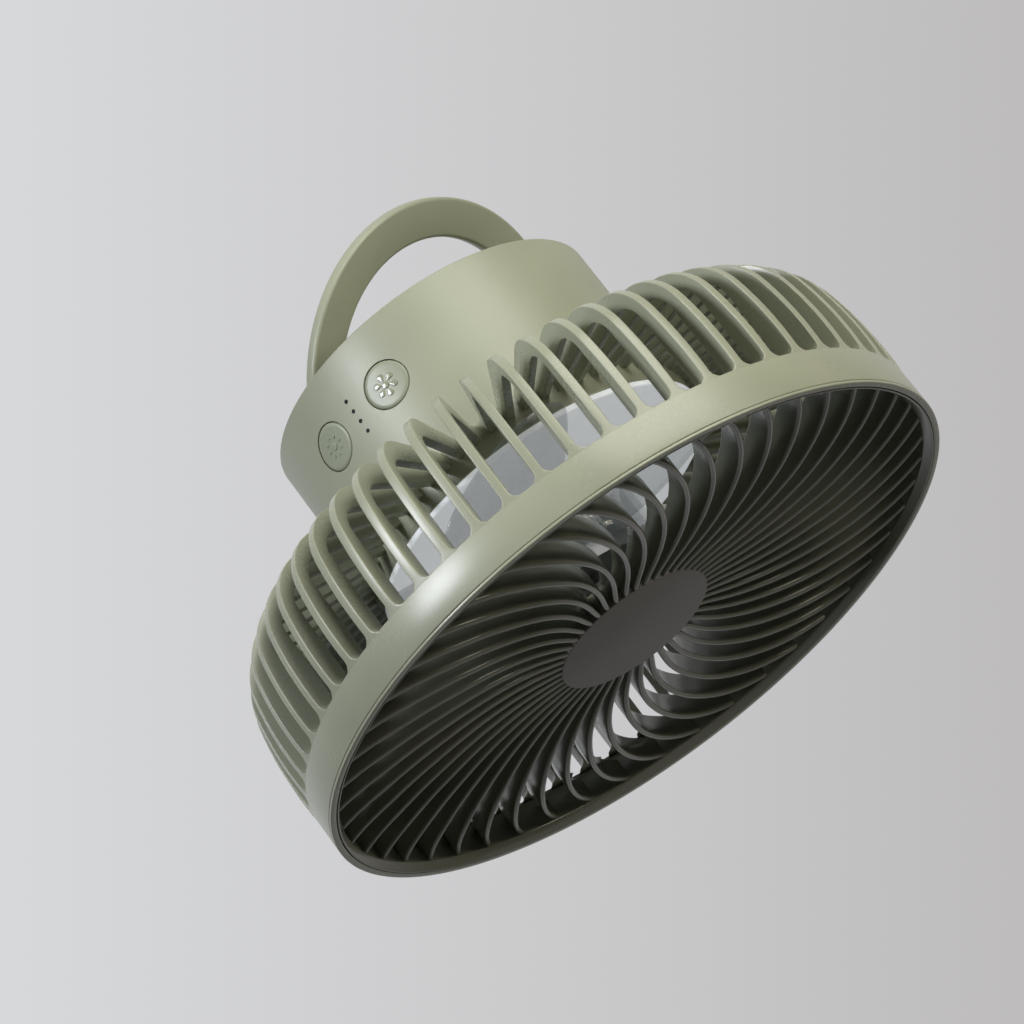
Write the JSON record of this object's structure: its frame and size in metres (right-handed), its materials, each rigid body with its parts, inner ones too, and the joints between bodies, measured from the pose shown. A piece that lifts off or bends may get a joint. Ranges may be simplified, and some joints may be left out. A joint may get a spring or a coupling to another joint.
{
  "type": "portable camping fan",
  "caption": "Round portable fan with a ribbed rear cage, spiral front grille, clear blades, ring lamp, cylindrical battery body and a folding half-ring handle.",
  "frame": {"origin": "centre of the front rim's plane, on the fan's axis", "axes": "+Z along the fan's axis from the front grille to the rear cover; -Y towards the buttons and charge lights"},
  "size_m": [0.2008, 0.2008, 0.1346],
  "materials": {
    "sage_plastic": "satin moulded",
    "sage_grille": "satin moulded",
    "badge_plastic": "fine satin",
    "button_plastic": "gloss moulded",
    "clear_blade": "smoky clear plastic",
    "lens_white": "opal",
    "dark_pipe": "smoked",
    "steel": "plain",
    "brass": "turned",
    "core_steel": "varnished",
    "copper_wire": "enamelled wire",
    "magnet": "sintered",
    "board_green": "solder mask",
    "board_white": "white mask",
    "led_yellow": "phosphor",
    "cell_wrap": "shrink wrapped",
    "cradle_black": "moulded",
    "mount_plastic": "moulded"
  },
  "bodies": {
    "housing": {"rear_cage": "sage_plastic", "front_bezel": "sage_plastic", "front_grille": "sage_grille", "hub_cap": "badge_plastic", "body_shell": "sage_plastic", "rear_cover": "sage_plastic", "tripod_insert": "brass", "cage_screws": "steel", "cover_screws": "steel", "bail_pins": "steel", "tact_switches": "cradle_black", "button_board": "board_green", "light_pipe": "dark_pipe", "motor_mount": "mount_plastic", "motor_screws": "steel", "motor_bearings": "steel", "stator_core": "core_steel", "stator_windings": "copper_wire", "motor_board": "board_green", "lamp_lens": "lens_white", "lamp_board": "board_white", "lamp_chips": "led_yellow", "battery_cradle": "cradle_black", "battery_cells": "cell_wrap", "main_board": "board_green", "usb_socket": "steel"},
    "rotor": {"impeller": "clear_blade", "impeller_nut": "mount_plastic", "rotor_cup": "steel", "magnet_ring": "magnet", "motor_shaft": "steel", "shaft_clip": "steel"},
    "bail": {"bail": "sage_plastic"},
    "fan_button": {"fan_button": "button_plastic"},
    "light_button": {"light_button": "sage_plastic"}
  },
  "joints": [
    {"name": "impeller_spin", "type": "hinge", "parent": "housing", "child": "rotor", "pos_m": [0, 0, 0.03], "axis": [0, 0, 1], "continuous": true},
    {"name": "bail_tilt", "type": "hinge", "parent": "housing", "child": "bail", "pos_m": [0, 0, 0.0995], "axis": [0.2079, 0.9781, 0], "range_deg": [-136, 44]},
    {"name": "fan_button_press", "type": "slide", "parent": "housing", "child": "fan_button", "axis": [0, 1, 0], "range_m": [0, 0.0008], "stiffness_N_per_m": 500},
    {"name": "light_button_press", "type": "slide", "parent": "housing", "child": "light_button", "axis": [0, 1, 0], "range_m": [0, 0.0008], "stiffness_N_per_m": 500}
  ]
}
